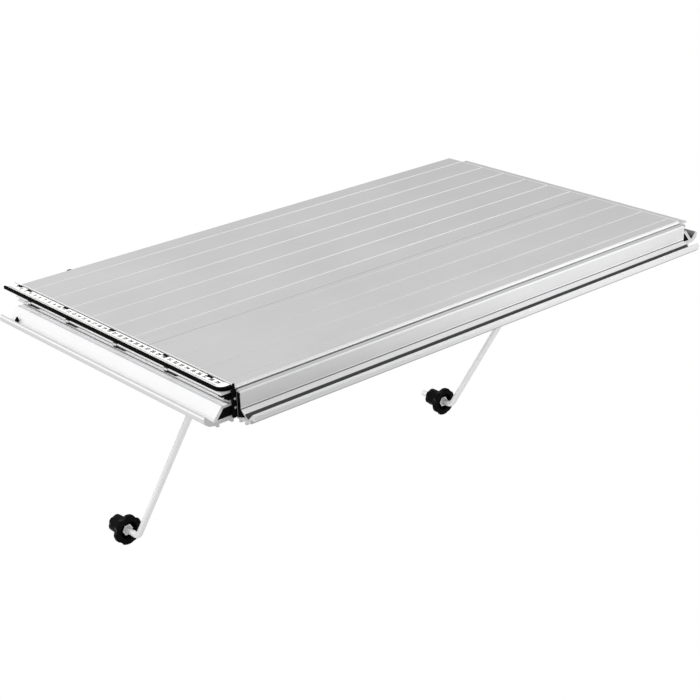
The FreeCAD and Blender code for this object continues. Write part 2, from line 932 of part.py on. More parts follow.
def make_strip_screws():
    screws = []
    x = -half_length - size.strip_width / 2
    y = front_y - size.strip_thickness
    for depth in strip_screw_depths:
        z = size.work_height - depth
        head = cylinder(size.strip_head_radius, size.strip_head, x, y, z, X_AXIS, 90)
        shank = cylinder(size.strip_shank_radius, size.strip_shank, x, y + size.strip_shank, z, X_AXIS, 90)
        screws.append(fused(head, shank))
    group("corner_strip_screws", screws)


# Cross beams and fasteners


def make_beam(label, side):
    body = new_body(label)
    half, wall = size.beam_width / 2, size.beam_wall
    sketch = new_sketch(body, "XZ_Plane")
    outline(sketch, [
        (-half, 0),
        (-half, -beam_depth),
        (wall - half, -beam_depth),
        (wall - half, -wall),
        (half - wall, -wall),
        (half - wall, -beam_depth),
        (half, -beam_depth),
        (half, 0),
    ])
    pad(body, sketch, beam_length)
    corners = [section_place(-half, 0), section_place(half, 0)]
    round_corners(body, Y_AXIS, corners, size.corner_round)
    sketch = new_sketch(body, "XY_Plane")
    for number in beam_screw_ribs:
        ring(sketch, 0, screw_place(number) - size.ledge_reach, screw_bore)
    pocket(body, sketch, wall, towards_plus=False)
    sketch = new_sketch(body, "YZ_Plane")
    ring(sketch, size.pivot_inset - size.ledge_reach, size.plank_depth - size.pivot_depth,
         size.pivot_radius + size.clamp_gap)
    pocket(body, sketch, both_ways=True)
    place(body, beam_x * side, beam_y, size.work_height - size.plank_depth)


def deck_screw(x, y, plate):
    """A hexagon-head screw that comes up through a plate into a rib's foot."""
    seat = size.work_height - size.plank_depth - plate
    head = hexagon(size.screw_head_radius, size.screw_head, x, y, seat - size.screw_head)
    shank = cylinder(size.screw_radius, plate + size.rib_foot + size.screw_tip, x, y, seat)
    return fused(head, shank)


def make_deck_screws():
    ledge_screws = []
    for number in rail_screw_ribs:
        for side in (-1, 1):
            x = (half_length - ledge_middle) * side
            ledge_screws.append(deck_screw(x, front_y + screw_place(number), size.ledge))
    for x in front_screw_x:
        y = front_y + size.groove_inset - size.screw_offset
        ledge_screws.append(deck_screw(x - half_length, y, size.ledge))
    group("ledge_screws", ledge_screws)
    beam_screws = []
    for number in beam_screw_ribs:
        for side in (-1, 1):
            x = beam_x * side
            beam_screws.append(deck_screw(x, front_y + screw_place(number), size.beam_wall))
    group("beam_screws", beam_screws)
    group("rear_rail_screws", [deck_screw(x, rear_screw_y, size.channel_wall) for x in rear_screw_x])


def make_clamp_screws():
    """Hexagon screws whose threads stand out of the saw-side face, for the saw's own nuts."""
    screws = []
    for side in (-1, 1):
        x = clamp_x * side
        seat = -size.channel_wall
        head = hexagon(size.clamp_head_radius, size.clamp_head, x, seat, 0, X_AXIS, 90)
        length = size.channel_wall + size.clamp_reach
        neck = cylinder(size.clamp_radius - size.clamp_neck, length, x, size.clamp_reach, 0, X_AXIS, 90)
        thread = cylinder(size.clamp_radius, size.clamp_reach, x, size.clamp_reach, 0, X_AXIS, 90)
        screws.append(fused(head, neck, thread))
    group("clamp_screws", screws)


def make_locating_lug():
    """A small lug on the saw-side edge, near the left clamp screw."""
    body = new_body("locating_lug")
    half = size.lug_width / 2
    sketch = new_sketch(body, "XY_Plane", -size.lug_depth)
    outline(sketch, [(-half, 0), (half, 0), (half, size.lug_reach), (-half, size.lug_reach)])
    pad(body, sketch, size.lug_depth - size.lug_top_depth)
    corners = [FreeCAD.Vector(half.value * side, size.lug_reach.value, 0) for side in (-1, 1)]
    round_corners(body, Z_AXIS, corners, size.corner_round)
    place(body, -clamp_x, 0, size.work_height)


def make_pivot_bolts():
    """A bolt through each beam's two walls, head outwards, with its nut on the inner wall."""
    bolts, nuts = [], []
    for side in (-1, 1):
        middle = beam_x * side
        half = size.beam_width / 2
        reach = half + size.pivot_nut + size.pivot_tip
        if side > 0:
            head_x, shank_x, nut_x = middle + half, middle - reach, middle - half - size.pivot_nut
        else:
            head_x, shank_x, nut_x = middle - half - size.pivot_head, middle - half, middle + half
        head = hexagon(size.pivot_head_radius, size.pivot_head, head_x, pivot_y, pivot_z, Y_AXIS, 90)
        shank = cylinder(size.pivot_radius, reach + half, shank_x, pivot_y, pivot_z, Y_AXIS, 90)
        bolts.append(fused(head, shank))
        nut = hexagon(size.pivot_head_radius, size.pivot_nut, nut_x, pivot_y, pivot_z, Y_AXIS, 90)
        bore = cylinder(size.pivot_radius + size.pivot_gap, size.pivot_nut, nut_x, pivot_y, pivot_z,
                        Y_AXIS, 90)
        nuts.append(bored(nut, bore))
    group("pivot_bolts", bolts)
    group("pivot_nuts", nuts)


# Struts and knobs


def make_strut(label, side, stub):
    """A bent bar: an eye at the pivot, a long leaning shank, and a level leg with a thread.

    A narrow undercut at the knob's mouth parts the thread's free end from the rest of the leg.
    """
    body = new_body(label)
    run, drop = size.strut_run, size.strut_drop
    tip = run + size.strut_leg
    lean = math.atan2(drop.value, run.value)
    setback = size.strut_bend.value * math.tan(lean / 2)
    bend = FreeCAD.Vector(run.value, -drop.value, 0)
    along = FreeCAD.Vector(math.cos(lean), -math.sin(lean), 0)
    leg_start = bend + X_AXIS * setback
    shank_end = bend - along * setback
    centre = leg_start + Y_AXIS * size.strut_bend.value

    path = new_sketch(body, "YZ_Plane")
    path.addGeometry(Part.LineSegment(FreeCAD.Vector(tip.value, -drop.value, 0), leg_start), False)
    circle = Part.Circle(centre, Z_AXIS, size.strut_bend.value)
    start = math.radians(270) - lean
    path.addGeometry(Part.ArcOfCircle(circle, start, math.radians(270)), False)
    path.addGeometry(Part.LineSegment(shank_end, FreeCAD.Vector(0, 0, 0)), False)
    path.addGeometry(Part.Point(bend), True)
    path.addConstraint([
        Sketcher.Constraint("Horizontal", 0),
        Sketcher.Constraint("Tangent", 0, 2, 1, 2),
        Sketcher.Constraint("Tangent", 1, 1, 2, 1),
        Sketcher.Constraint("Coincident", 2, 2, -1, 1),
        Sketcher.Constraint("PointOnObject", 3, 1, 2),
    ])
    hold(path, 3, 1, run, -drop)
    hold(path, 0, 1, tip, -drop)
    number = path.addConstraint(Sketcher.Constraint("Radius", 1, size.strut_bend.value))
    path.setExpression("Constraints[%d]" % number, size.strut_bend.text)

    profile = new_sketch(body, "XZ_Plane", -tip)
    ring(profile, 0, -drop, size.strut_radius)
    doc.recompute()
    pipe = body.newObject("PartDesign::AdditivePipe", label + "_bar")
    pipe.Profile = profile
    pipe.Spine = (path, ["Edge1", "Edge2", "Edge3"])
    doc.recompute()

    sketch = new_sketch(body, "YZ_Plane")
    ring(sketch, 0, 0, size.eye_radius)
    pad(body, sketch, size.eye_length, both_ways=True)
    sketch = new_sketch(body, "YZ_Plane")
    ring(sketch, 0, 0, size.pivot_radius + size.pivot_gap)
    pocket(body, sketch, both_ways=True)
    bevel_edges(body, size.strut_tip_bevel, lambda edge: on_strut_tip(edge, tip.value))
    undercut = tip - stub + size.undercut_reach
    sketch = new_sketch(body, "XZ_Plane", -undercut)
    ring(sketch, 0, -drop, size.strut_radius - size.undercut_depth)
    ring(sketch, 0, -drop, size.strut_radius + size.undercut_depth)
    pocket(body, sketch, size.undercut_width, towards_plus=False)
    place(body, beam_x * side, pivot_y, pivot_z)


def on_strut_tip(edge, tip):
    """Whether an edge is the round rim of a strut's free end."""
    return isinstance(edge.Curve, Part.Circle) and abs(edge.Curve.Center.y - tip) < size.pivot_gap.value


strut_tip_y = pivot_y + size.strut_run + size.strut_leg
knob_z = pivot_z - size.strut_drop


def make_knob(label, side, stub):
    """A star knob: a hollow fluted head towards the user, a narrow waist and a fluted saw-side end."""
    body = new_body(label)
    bore = size.strut_radius + size.knob_gap
    length, head, bevel = size.knob_length, size.knob_head, size.knob_bevel
    profile = new_sketch(body, "YZ_Plane")
    outline(profile, [
        (0, size.knob_recess_radius),
        (0, size.knob_head_radius - bevel),
        (bevel, size.knob_head_radius),
        (head, size.knob_head_radius),
        (size.knob_waist, size.knob_waist_radius),
        (length - bevel, size.knob_end_radius),
        (length, size.knob_end_radius - bevel),
        (length, bore),
        (size.knob_recess, bore),
        (size.knob_recess, size.knob_recess_radius),
    ])
    feature = body.newObject("PartDesign::Revolution", label + "_turned")
    feature.Profile = profile
    feature.ReferenceAxis = (profile, ["H_Axis"])
    doc.recompute()
    sketch = new_sketch(body, "XZ_Plane")
    ring(sketch, 0, 0, size.knob_scallop_radius)
    lean = -math.degrees(math.atan2(size.knob_scallop_fall.value, length.value))
    sketch.AttachmentOffset = FreeCAD.Placement(
        FreeCAD.Vector(0, size.knob_scallop_reach.value, 0), FreeCAD.Rotation(X_AXIS, lean)
    )
    sketch.setExpression("AttachmentOffset.Base.y", size.knob_scallop_reach.text)
    scallop = pocket(body, sketch, both_ways=True)
    pattern = body.newObject("PartDesign::PolarPattern", label + "_lobes")
    pattern.Originals = [scallop]
    pattern.Axis = (origin_feature(body, "Y_Axis"), [""])
    pattern.Occurrences = KNOB_LOBES
    body.Tip = pattern
    doc.recompute()
    place(body, beam_x * side, strut_tip_y - stub - length, knob_z, Y_AXIS, KNOB_TURN)


def make_knob_nut(label, side, stub):
    """The steel nut at the bottom of the knob's hollow."""
    x = beam_x * side
    back = strut_tip_y - stub - size.knob_length + size.knob_recess
    nut = hexagon(size.knob_nut_radius, size.knob_nut, x, back, knob_z, X_AXIS, 90)
    bore = cylinder(size.strut_radius + size.knob_gap, size.knob_nut, x, back, knob_z, X_AXIS, 90)
    nut = bored(nut, bore)
    nut.Label = label
    doc.recompute()
    subparts.append(nut)


# Ruler, which slides along the left rail's shelf

ruler_y = front_y + size.ruler_near_gap
ruler_base = size.ruler_gap - size.shelf_drop
scale_base = -size.ruler_bevel - size.scale_thickness / 4


def place_on_left(body, y):
    """Put a body drawn like a rail's section on the left side, its near end at y."""
    place(body, -half_length, y, size.work_height, Z_AXIS, 180)


def make_ruler_carrier():
    """The black bed of the ruler, with a recess for the scale and a rounded near corner."""
    body = new_body("ruler_carrier")
    length = size.ruler_length
    top = -size.ruler_bevel / 4
    sketch = new_sketch(body, "XY_Plane", ruler_base)
    outline(sketch, [
        (size.ruler_inset, 0),
        (size.ruler_reach, 0),
        (size.ruler_reach, length),
        (size.ruler_inset, length),
    ])
    pad(body, sketch, top - ruler_base)
    sketch = new_sketch(body, "XY_Plane", scale_base)
    outline(sketch, [
        (0, 0),
        (size.scale_reach, 0),
        (size.scale_reach, length - size.scale_near_margin),
        (0, length - size.scale_near_margin),
    ])
    pocket(body, sketch, size.scale_thickness)
    corner = FreeCAD.Vector(size.scale_reach.value, (length - size.scale_near_margin).value, 0)
    round_corners(body, Z_AXIS, [corner], size.scale_corner)
    corner = FreeCAD.Vector(size.ruler_reach.value, length.value, 0)
    round_corners(body, Z_AXIS, [corner], size.ruler_corner)
    bevel_edges(body, size.ruler_bevel, lambda edge: on_outer_rim(edge, top.value))
    place_on_left(body, ruler_y + size.ruler_length)


def on_outer_rim(edge, top):
    """Whether an edge is part of the ruler's top rim along its outer side and near corner."""
    box = edge.BoundBox
    level = abs(box.ZMin - top) < size.ruler_gap.value and abs(box.ZMax - top) < size.ruler_gap.value
    return level and box.XMax > size.ruler_reach.value - size.ruler_gap.value


def make_ruler_scale():
    body = new_body("ruler_scale")
    length = size.ruler_length - size.scale_near_margin
    sketch = new_sketch(body, "XZ_Plane")
    top = scale_base + size.scale_thickness
    outline(sketch, [
        (size.ruler_inset, scale_base),
        (size.scale_reach, scale_base),
        (size.scale_reach, top),
        (size.ruler_inset, top),
    ])
    pad(body, sketch, length)
    corner = FreeCAD.Vector(size.scale_reach.value, length.value, 0)
    round_corners(body, Z_AXIS, [corner], size.scale_corner)
    sketch = new_sketch(body, "XY_Plane", scale_base)
    for share in STUD_SHARES:
        outline(sketch, stud_outline(length - size.ruler_length * share, size.stud_gap))
    pocket(body, sketch, size.scale_thickness)
    place_on_left(body, ruler_y + size.ruler_length)


def stud_outline(along, gap):
    """A stud seen from above, or with a gap the window for it."""
    half = size.stud_length / 2 + gap
    inner = size.stud_inset - gap
    outer = size.stud_inset + size.stud_width + gap
    return [(inner, along - half), (outer, along - half), (outer, along + half), (inner, along + half)]


def make_ruler_studs():
    """Black oblong studs of the carrier that stand in windows of the scale."""
    studs = []
    for share in STUD_SHARES:
        stud = doc.addObject("PartDesign::Body", "stud")
        sketch = new_sketch(stud, "XY_Plane", scale_base)
        outline(sketch, stud_outline(size.ruler_length * (1 - share) - size.scale_near_margin, as_size(0)))
        pad(stud, sketch, size.scale_thickness + size.stud_rise)
        place_on_left(stud, ruler_y + size.ruler_length)
        studs.append(stud)
    group("ruler_studs", studs)


def make_ruler_clips():
    """Hooks that reach round the shelf's lip into the rail's slot and hold the ruler down."""
    clips = []
    slot_top = -size.shelf_drop - size.lip
    foot_top = slot_top - size.clip_gap
    inner = size.lip_reach + size.ruler_gap
    outer = inner + size.clip_tab
    for share in CLIP_SHARES:
        clip = doc.addObject("PartDesign::Body", "clip")
        sketch = new_sketch(clip, "XZ_Plane")
        outline(sketch, [
            (size.ruler_reach, ruler_base),
            (size.ruler_reach, -size.clip_tab_top),
            (outer, -size.clip_tab_top),
            (outer, foot_top - size.clip_foot),
            (size.clip_foot_inset, foot_top - size.clip_foot),
            (size.clip_foot_inset, foot_top),
            (inner, foot_top),
            (inner, ruler_base),
        ])
        pad(clip, sketch, size.clip_tab_length)
        sketch = new_sketch(clip, "XZ_Plane")
        outline(sketch, [
            (size.clip_foot_inset, foot_top),
            (inner, foot_top),
            (inner, foot_top - size.clip_foot),
            (size.clip_foot_inset, foot_top - size.clip_foot),
        ])
        pad(clip, sketch, size.clip_length)
        place_on_left(clip, ruler_y + size.ruler_length * share + size.clip_length / 2)
        clips.append(clip)
    group("ruler_clips", clips)


make_front_plank()
make_rear_plank()
make_front_rail()
make_rear_rail()
make_side_rail("left_rail", right=False)
make_side_rail("right_rail", right=True)
make_side_caps("left_rail_caps", right=False)
make_side_caps("right_rail_caps", right=True)
make_front_caps()
make_corner_strip()
make_strip_screws()
make_beam("left_beam", -1)
make_beam("right_beam", 1)
make_deck_screws()
make_clamp_screws()
make_locating_lug()
make_pivot_bolts()
for name, side, stub in (("left", -1, size.left_stub), ("right", 1, size.right_stub)):
    make_strut(name + "_strut", side, stub)
    make_knob(name + "_knob", side, stub)
    make_knob_nut(name + "_knob_nut", side, stub)
make_ruler_carrier()
make_ruler_scale()
make_ruler_studs()
make_ruler_clips()
doc.recompute()

faults = [thing.Label for thing in doc.Objects if "Invalid" in thing.State or "Error" in thing.State]
for subpart in subparts:
    if subpart.Shape.isNull() or not subpart.Shape.isValid():
        faults.append(subpart.Label)
if faults:
    raise RuntimeError("not built: " + ", ".join(sorted(set(faults))))

os.makedirs("parts", exist_ok=True)
for subpart in subparts:
    subpart.Shape.exportStep("parts/%s.step" % subpart.Label)
    print(subpart.Label, len(subpart.Shape.Solids), "solids", round(subpart.Shape.Volume), "mm3")
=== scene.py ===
import math

import bmesh
import bpy
from mathutils import Matrix, Vector


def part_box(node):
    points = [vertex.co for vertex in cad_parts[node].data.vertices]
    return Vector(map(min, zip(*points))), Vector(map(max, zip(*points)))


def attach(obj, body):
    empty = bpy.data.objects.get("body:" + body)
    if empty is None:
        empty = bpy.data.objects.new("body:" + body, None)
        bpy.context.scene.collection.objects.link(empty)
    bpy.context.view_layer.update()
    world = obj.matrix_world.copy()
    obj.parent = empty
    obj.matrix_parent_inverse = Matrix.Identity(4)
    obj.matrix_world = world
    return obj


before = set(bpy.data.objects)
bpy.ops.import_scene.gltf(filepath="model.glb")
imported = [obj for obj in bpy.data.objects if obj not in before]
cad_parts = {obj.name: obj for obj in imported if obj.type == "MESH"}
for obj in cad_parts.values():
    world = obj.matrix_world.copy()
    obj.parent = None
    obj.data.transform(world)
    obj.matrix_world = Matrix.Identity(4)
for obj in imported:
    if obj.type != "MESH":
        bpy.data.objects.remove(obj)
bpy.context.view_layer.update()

MM = 0.001


# Colours

COLD_CAST = 1.008
WHITE = (1.0, 1.0, 1.0, 1.0)


def grey(value):
    """A grey with a slightly cold cast."""
    return (value, value, value * COLD_CAST)


# Materials as node trees

# Sockets of the mix node when it blends colours
MIX_FIRST, MIX_SECOND, MIX_RESULT = 6, 7, 2
CREVICE_SAMPLES = 8


class Tree:
    """A material's node tree with short calls for the nodes that the finishes share."""

    def __init__(self, name):
        self.material = bpy.data.materials.new(name)
        self.material.use_nodes = True
        self.nodes = self.material.node_tree.nodes
        self.links = self.material.node_tree.links
        self.surface = self.nodes["Principled BSDF"]
        self.place = self.nodes.new("ShaderNodeTexCoord").outputs["Object"]

    def link(self, source, target):
        self.links.new(source, target)

    def stretched(self, scale):
        """The place, scaled along each axis, for grain that runs one way."""
        mapping = self.nodes.new("ShaderNodeMapping")
        mapping.inputs["Scale"].default_value = scale
        self.link(self.place, mapping.inputs["Vector"])
        return mapping.outputs["Vector"]

    def noise(self, scale, detail=2.0, roughness=0.5, at=None):
        """Cloudy noise, at the piece's own place unless another vector is given."""
        node = self.nodes.new("ShaderNodeTexNoise")
        node.inputs["Scale"].default_value = scale
        node.inputs["Detail"].default_value = detail
        node.inputs["Roughness"].default_value = roughness
        self.link(at or self.place, node.inputs["Vector"])
        return node.outputs["Fac"]

    def spread(self, value, low, high, from_low=0.3, from_high=0.7):
        """Map a value onto a range. Most noise lies between 0.3 and 0.7."""
        node = self.nodes.new("ShaderNodeMapRange")
        node.inputs["From Min"].default_value = from_low
        node.inputs["From Max"].default_value = from_high
        node.inputs["To Min"].default_value = low
        node.inputs["To Max"].default_value = high
        self.link(value, node.inputs["Value"])
        return node.outputs["Result"]

    def mixed(self, factor, first, second):
        """Blend two colours, each a tuple or a socket, by a factor socket."""
        node = self.nodes.new("ShaderNodeMix")
        node.data_type = "RGBA"
        self.link(factor, node.inputs["Factor"])
        for number, colour in ((MIX_FIRST, first), (MIX_SECOND, second)):
            if isinstance(colour, tuple):
                node.inputs[number].default_value = (*colour, 1.0)
            else:
                self.link(colour, node.inputs[number])
        return node.outputs[MIX_RESULT]

    def maths(self, operation, first, second):
        """A sum, product or the like of two values, each a number or a socket."""
        node = self.nodes.new("ShaderNodeMath")
        node.operation = operation
        for socket, value in zip(node.inputs, (first, second)):
            if isinstance(value, (int, float)):
                socket.default_value = value
            else:
                self.link(value, socket)
        return node.outputs[0]

    def product(self, first, *others):
        """The product of several values."""
        for other in others:
            first = self.maths("MULTIPLY", first, other)
        return first

    def axis(self, name):
        """One coordinate of the piece's own place, in metres."""
        node = self.nodes.new("ShaderNodeSeparateXYZ")
        self.link(self.place, node.inputs["Vector"])
        return node.outputs[name]

    def step(self, value, start, end):
        """0 before start, 1 beyond end and a smooth change between them. End may be the lower one."""
        node = self.nodes.new("ShaderNodeMapRange")
        node.interpolation_type = "SMOOTHSTEP"
        node.inputs["From Min"].default_value = min(start, end)
        node.inputs["From Max"].default_value = max(start, end)
        node.inputs["To Min"].default_value = 0.0 if start < end else 1.0
        node.inputs["To Max"].default_value = 1.0 if start < end else 0.0
        self.link(value, node.inputs["Value"])
        return node.outputs["Result"]

    def fade(self, name, ends, tones):
        """A grey that changes from one tone to another between two places in millimetres on an axis."""
        start, end = (place * MM for place in ends)
        first, last = (grey(tone) for tone in tones)
        return self.mixed(self.step(self.axis(name), start, end), first, last)

    def crevices(self, reach):
        """1 on open faces, falling towards 0 deep in grooves and narrow corners."""
        node = self.nodes.new("ShaderNodeAmbientOcclusion")
        node.samples = CREVICE_SAMPLES
        node.inputs["Distance"].default_value = reach
        return node.outputs["AO"]

    def between(self, name, low, high, soft):
        """1 where a coordinate lies between two places, with soft edges."""
        value = self.axis(name)
        return self.product(self.step(value, low - soft, low), self.step(value, high + soft, high))

    def within(self, soft=0.3, **ranges):
        """1 inside a block that has a range in millimetres for each coordinate given."""
        sides = [
            self.between(name, low * MM, high * MM, soft * MM)
            for name, (low, high) in ranges.items()
        ]
        return self.product(*sides)

    def tint(self, label, mask, colour):
        """Lay another colour over the finish where the mask is 1."""
        self.colour = self.mixed(mask, self.colour, colour)
        self.colour.node.label = label
        self.link(self.colour, self.surface.inputs["Base Color"])

    def paint(self, patches):
        """Tint the finish inside one block after the other, each with its own colour."""
        for label, (colour, block) in patches.items():
            self.tint(label, self.within(**block), colour)

    def matt(self, mask):
        """Take the metallic sheen away where the mask is 1."""
        sheen = self.surface.inputs["Metallic"]
        taken = self.product(mask, sheen.default_value)
        self.link(self.maths("SUBTRACT", sheen.default_value, taken), sheen)

    def bump(self, height, strength, distance):
        """Let light fall on the surface as if it had a fine relief."""
        node = self.nodes.new("ShaderNodeBump")
        node.inputs["Strength"].default_value = strength
        node.inputs["Distance"].default_value = distance
        self.link(height, node.inputs["Height"])
        self.link(node.outputs["Normal"], self.surface.inputs["Normal"])


# Metal finishes

# How fine the grain is along X, Y and Z
GRAIN_ALONG_X = (3, 900, 900)
GRAIN_ALONG_Y = (900, 3, 900)
EVEN_GRAIN = (300, 300, 300)
COARSE_GRAIN = (60, 60, 60)
METAL_CLOUD = 9.0
METAL_SPECK = 2600.0
METAL_RELIEF = 0.06 * MM
METAL_ROUGHNESS_SPREAD = 0.06


def metal(name, dark, light, roughness, grain, streaks, metallic=0.45, bump=0.15, shadow=0.25,
          open_from=0.15, open_to=0.6, reach=6 * MM, grit=0.4):
    """Metal between two tones, with fine streaks and slow clouds.

    Streaks is the share of the tone that the grain makes. Shadow is how bright the tone stays in grooves
    and narrow corners, a painted shade where little light gets in, and 1 leaves it as it is.
    """
    tree = Tree(name)
    lines = tree.noise(scale=1.0, detail=3.0, roughness=0.6, at=tree.stretched(grain))
    cloud = tree.noise(METAL_CLOUD, detail=3.0, roughness=0.55)
    speck = tree.noise(METAL_SPECK, detail=1.0)
    tone = tree.maths("ADD", tree.product(lines, streaks), tree.product(cloud, 1.0 - streaks))
    face = tree.mixed(tree.spread(tone, 0.0, 1.0), dark, light)
    # Painted shade: the dark tone times shadow, laid where the crevice mask falls towards 0
    deep = tuple(part * shadow for part in dark)
    tree.colour = tree.mixed(tree.step(tree.crevices(reach), open_from, open_to), deep, face)
    tree.link(tree.colour, tree.surface.inputs["Base Color"])
    smoothest = roughness - METAL_ROUGHNESS_SPREAD
    roughest = roughness + METAL_ROUGHNESS_SPREAD
    tree.link(tree.spread(lines, smoothest, roughest), tree.surface.inputs["Roughness"])
    tree.surface.inputs["Metallic"].default_value = metallic
    tree.bump(tree.maths("ADD", lines, tree.product(speck, grit)), bump, METAL_RELIEF)
    return tree


# Plastic finishes

PLASTIC_GRAIN = 1500.0
PLASTIC_CLOUD = 60.0
PLASTIC_RELIEF = 0.08 * MM
PLASTIC_SMOOTHER, PLASTIC_ROUGHER = 0.07, 0.08


def moulded(name, dark, light, roughness, bump=0.25, gloss=0.12):
    """Moulded plastic or ink between two tones: a fine grain and slightly lighter patches."""
    tree = Tree(name)
    grain = tree.noise(PLASTIC_GRAIN, detail=2.0, roughness=0.6)
    cloud = tree.noise(PLASTIC_CLOUD, detail=3.0, roughness=0.6)
    tree.link(tree.mixed(tree.spread(cloud, 0.0, 1.0), dark, light), tree.surface.inputs["Base Color"])
    smoothest = roughness - PLASTIC_SMOOTHER
    roughest = roughness + PLASTIC_ROUGHER
    tree.link(tree.spread(grain, smoothest, roughest), tree.surface.inputs["Roughness"])
    tree.bump(grain, bump, PLASTIC_RELIEF)
    tree.surface.inputs["Specular IOR Level"].default_value = gloss
    return tree


# Every metal finish but the strut's paints shade into its grooves and narrow corners
finishes = {
    "deck": metal("deck_metal", dark=grey(0.585), light=grey(0.64), roughness=0.42,
                  grain=GRAIN_ALONG_X, streaks=0.35, shadow=0.6),
    # Lit and shaded copies of one rail metal: the side rails' tone is painted darker for faces the key lamp
    # lights fully, the front rails' tone lighter for faces it lights less
    "side_metal": metal("side_rail_metal", dark=grey(0.60), light=grey(0.65), roughness=0.36,
                        grain=GRAIN_ALONG_Y, streaks=0.4, shadow=0.5, open_from=0.05, open_to=0.3),
    "front_metal": metal("front_rail_metal", dark=grey(0.67), light=grey(0.72), roughness=0.36,
                         grain=GRAIN_ALONG_X, streaks=0.4),
    "beam_metal": metal("beam_metal", dark=grey(0.66), light=grey(0.73), roughness=0.42,
                        grain=GRAIN_ALONG_Y, streaks=0.4),
    # The clips' bright steel tone is a painted highlight where they cross the shelf's face; tone_clips
    # paints them black below and above it
    "clip": metal("clip_black_and_painted_highlight", dark=grey(0.80), light=grey(0.86), roughness=0.36,
                  grain=GRAIN_ALONG_Y, streaks=0.4),
    "zinc": metal("zinc_plate", dark=grey(0.72), light=(0.80, 0.79, 0.76), roughness=0.30,
                  grain=EVEN_GRAIN, streaks=0.5),
    # The nut's tone is painted nearly black deep in the knob's recess: painted shade
    "nut": metal("nut_steel", dark=grey(0.78), light=grey(0.86), roughness=0.28, grain=EVEN_GRAIN,
                 streaks=0.3, shadow=0.03, open_from=0.3, open_to=0.75, reach=14 * MM, grit=0.1),
    "strut": metal("strut_steel", dark=grey(0.84), light=grey(0.90), roughness=0.32,
                   grain=COARSE_GRAIN, streaks=0.3, metallic=0.3, bump=0.0, shadow=1.0, grit=0.0),
    "cap": moulded("cap_plastic", dark=grey(0.002), light=grey(0.005), roughness=0.55, gloss=0.03),
    "knob": moulded("knob_plastic", dark=grey(0.002), light=grey(0.005), roughness=0.34, bump=0.1,
                    gloss=0.04),
    "ruler_black": moulded("ruler_plastic", dark=grey(0.0015), light=grey(0.003), roughness=0.38,
                           bump=0.1, gloss=0.02),
    "ruler_white": moulded("scale_white", dark=(0.80, 0.80, 0.79), light=(0.86, 0.86, 0.85),
                           roughness=0.5, bump=0.05),
    "ink": moulded("scale_ink", dark=grey(0.02), light=grey(0.035), roughness=0.5, bump=0.05),
}
NODES_OF_FINISH = {
    "deck": ("front_plank", "rear_plank"),
    "front_metal": ("front_rail", "rear_rail"),
    "side_metal": ("left_rail", "right_rail"),
    "beam_metal": ("left_beam", "right_beam"),
    "cap": ("left_rail_caps", "right_rail_caps", "front_rail_caps", "corner_strip", "locating_lug"),
    "clip": ("ruler_clips",),
    "zinc": ("corner_strip_screws", "ledge_screws", "beam_screws", "rear_rail_screws", "clamp_screws",
             "pivot_bolts", "pivot_nuts"),
    "nut": ("left_knob_nut", "right_knob_nut"),
    "strut": ("left_strut", "right_strut"),
    "knob": ("left_knob", "right_knob"),
    "ruler_black": ("ruler_carrier", "ruler_studs"),
    "ruler_white": ("ruler_scale",),
}


# Tones of single faces, most of them painted light and shade, each with a block of the frame in millimetres
# around them

# Higher than every piece
HIGH = 60.0
SLOT_LENGTH = (-399.6, -17.4)
SLOT_HEIGHT = (10.5, 18.6)
STEP_HEIGHT = (7.6, 8.4)


def tone_front_rail(tree):
    """The front rail: painted shade in the trough, on the top, under the flange, in the gap beside the
    deck's nose and in the notch below the wall, and painted highlights along the wall's edges and the slope
    above the trough.
    """
    # Painted shade in the gap beside the deck's nose, lighter towards the right
    painted_shade = tree.fade("X", ends=(-200, 300), tones=(0.03, 0.22))
    # Painted shade in the trough, on the top, under the flange and in the notch below the wall; painted
    # highlights on the wall's edges and the slope
    tree.paint({
        "trough": (grey(0.045), {"X": (-344.8, 344.8), "Y": (-421.5, -414.4), "Z": (-7.6, HIGH)}),
        "top": (grey(0.52), {"Y": (-410.0, -403.0), "Z": (20.6, 25.0)}),
        "painted highlight, upper edge of the wall": (grey(0.84), {"Y": (-410.0, -409.0), "Z": (19.4, 25.0)}),
        "painted highlight, lower edge of the wall": (grey(0.88), {"Y": (-410.0, -409.2), "Z": (3.0, 4.3)}),
        "painted highlight, slope above the trough": (grey(0.80), {"Y": (-414.3, -409.7), "Z": (-1.8, 1.3)}),
        "painted shade, flange underside": (grey(0.40), {"soft": 1.2, "Y": (-432.0, -424.0), "Z": (-12.0, -5.3)}),
        "joint beside the nose": (painted_shade, {"Y": (-404.3, -400.0), "Z": (21.4, HIGH)}),
        "joint below the wall": (grey(0.06), {"Y": (-409.5, -405.0), "Z": (1.8, 2.5)}),
    })


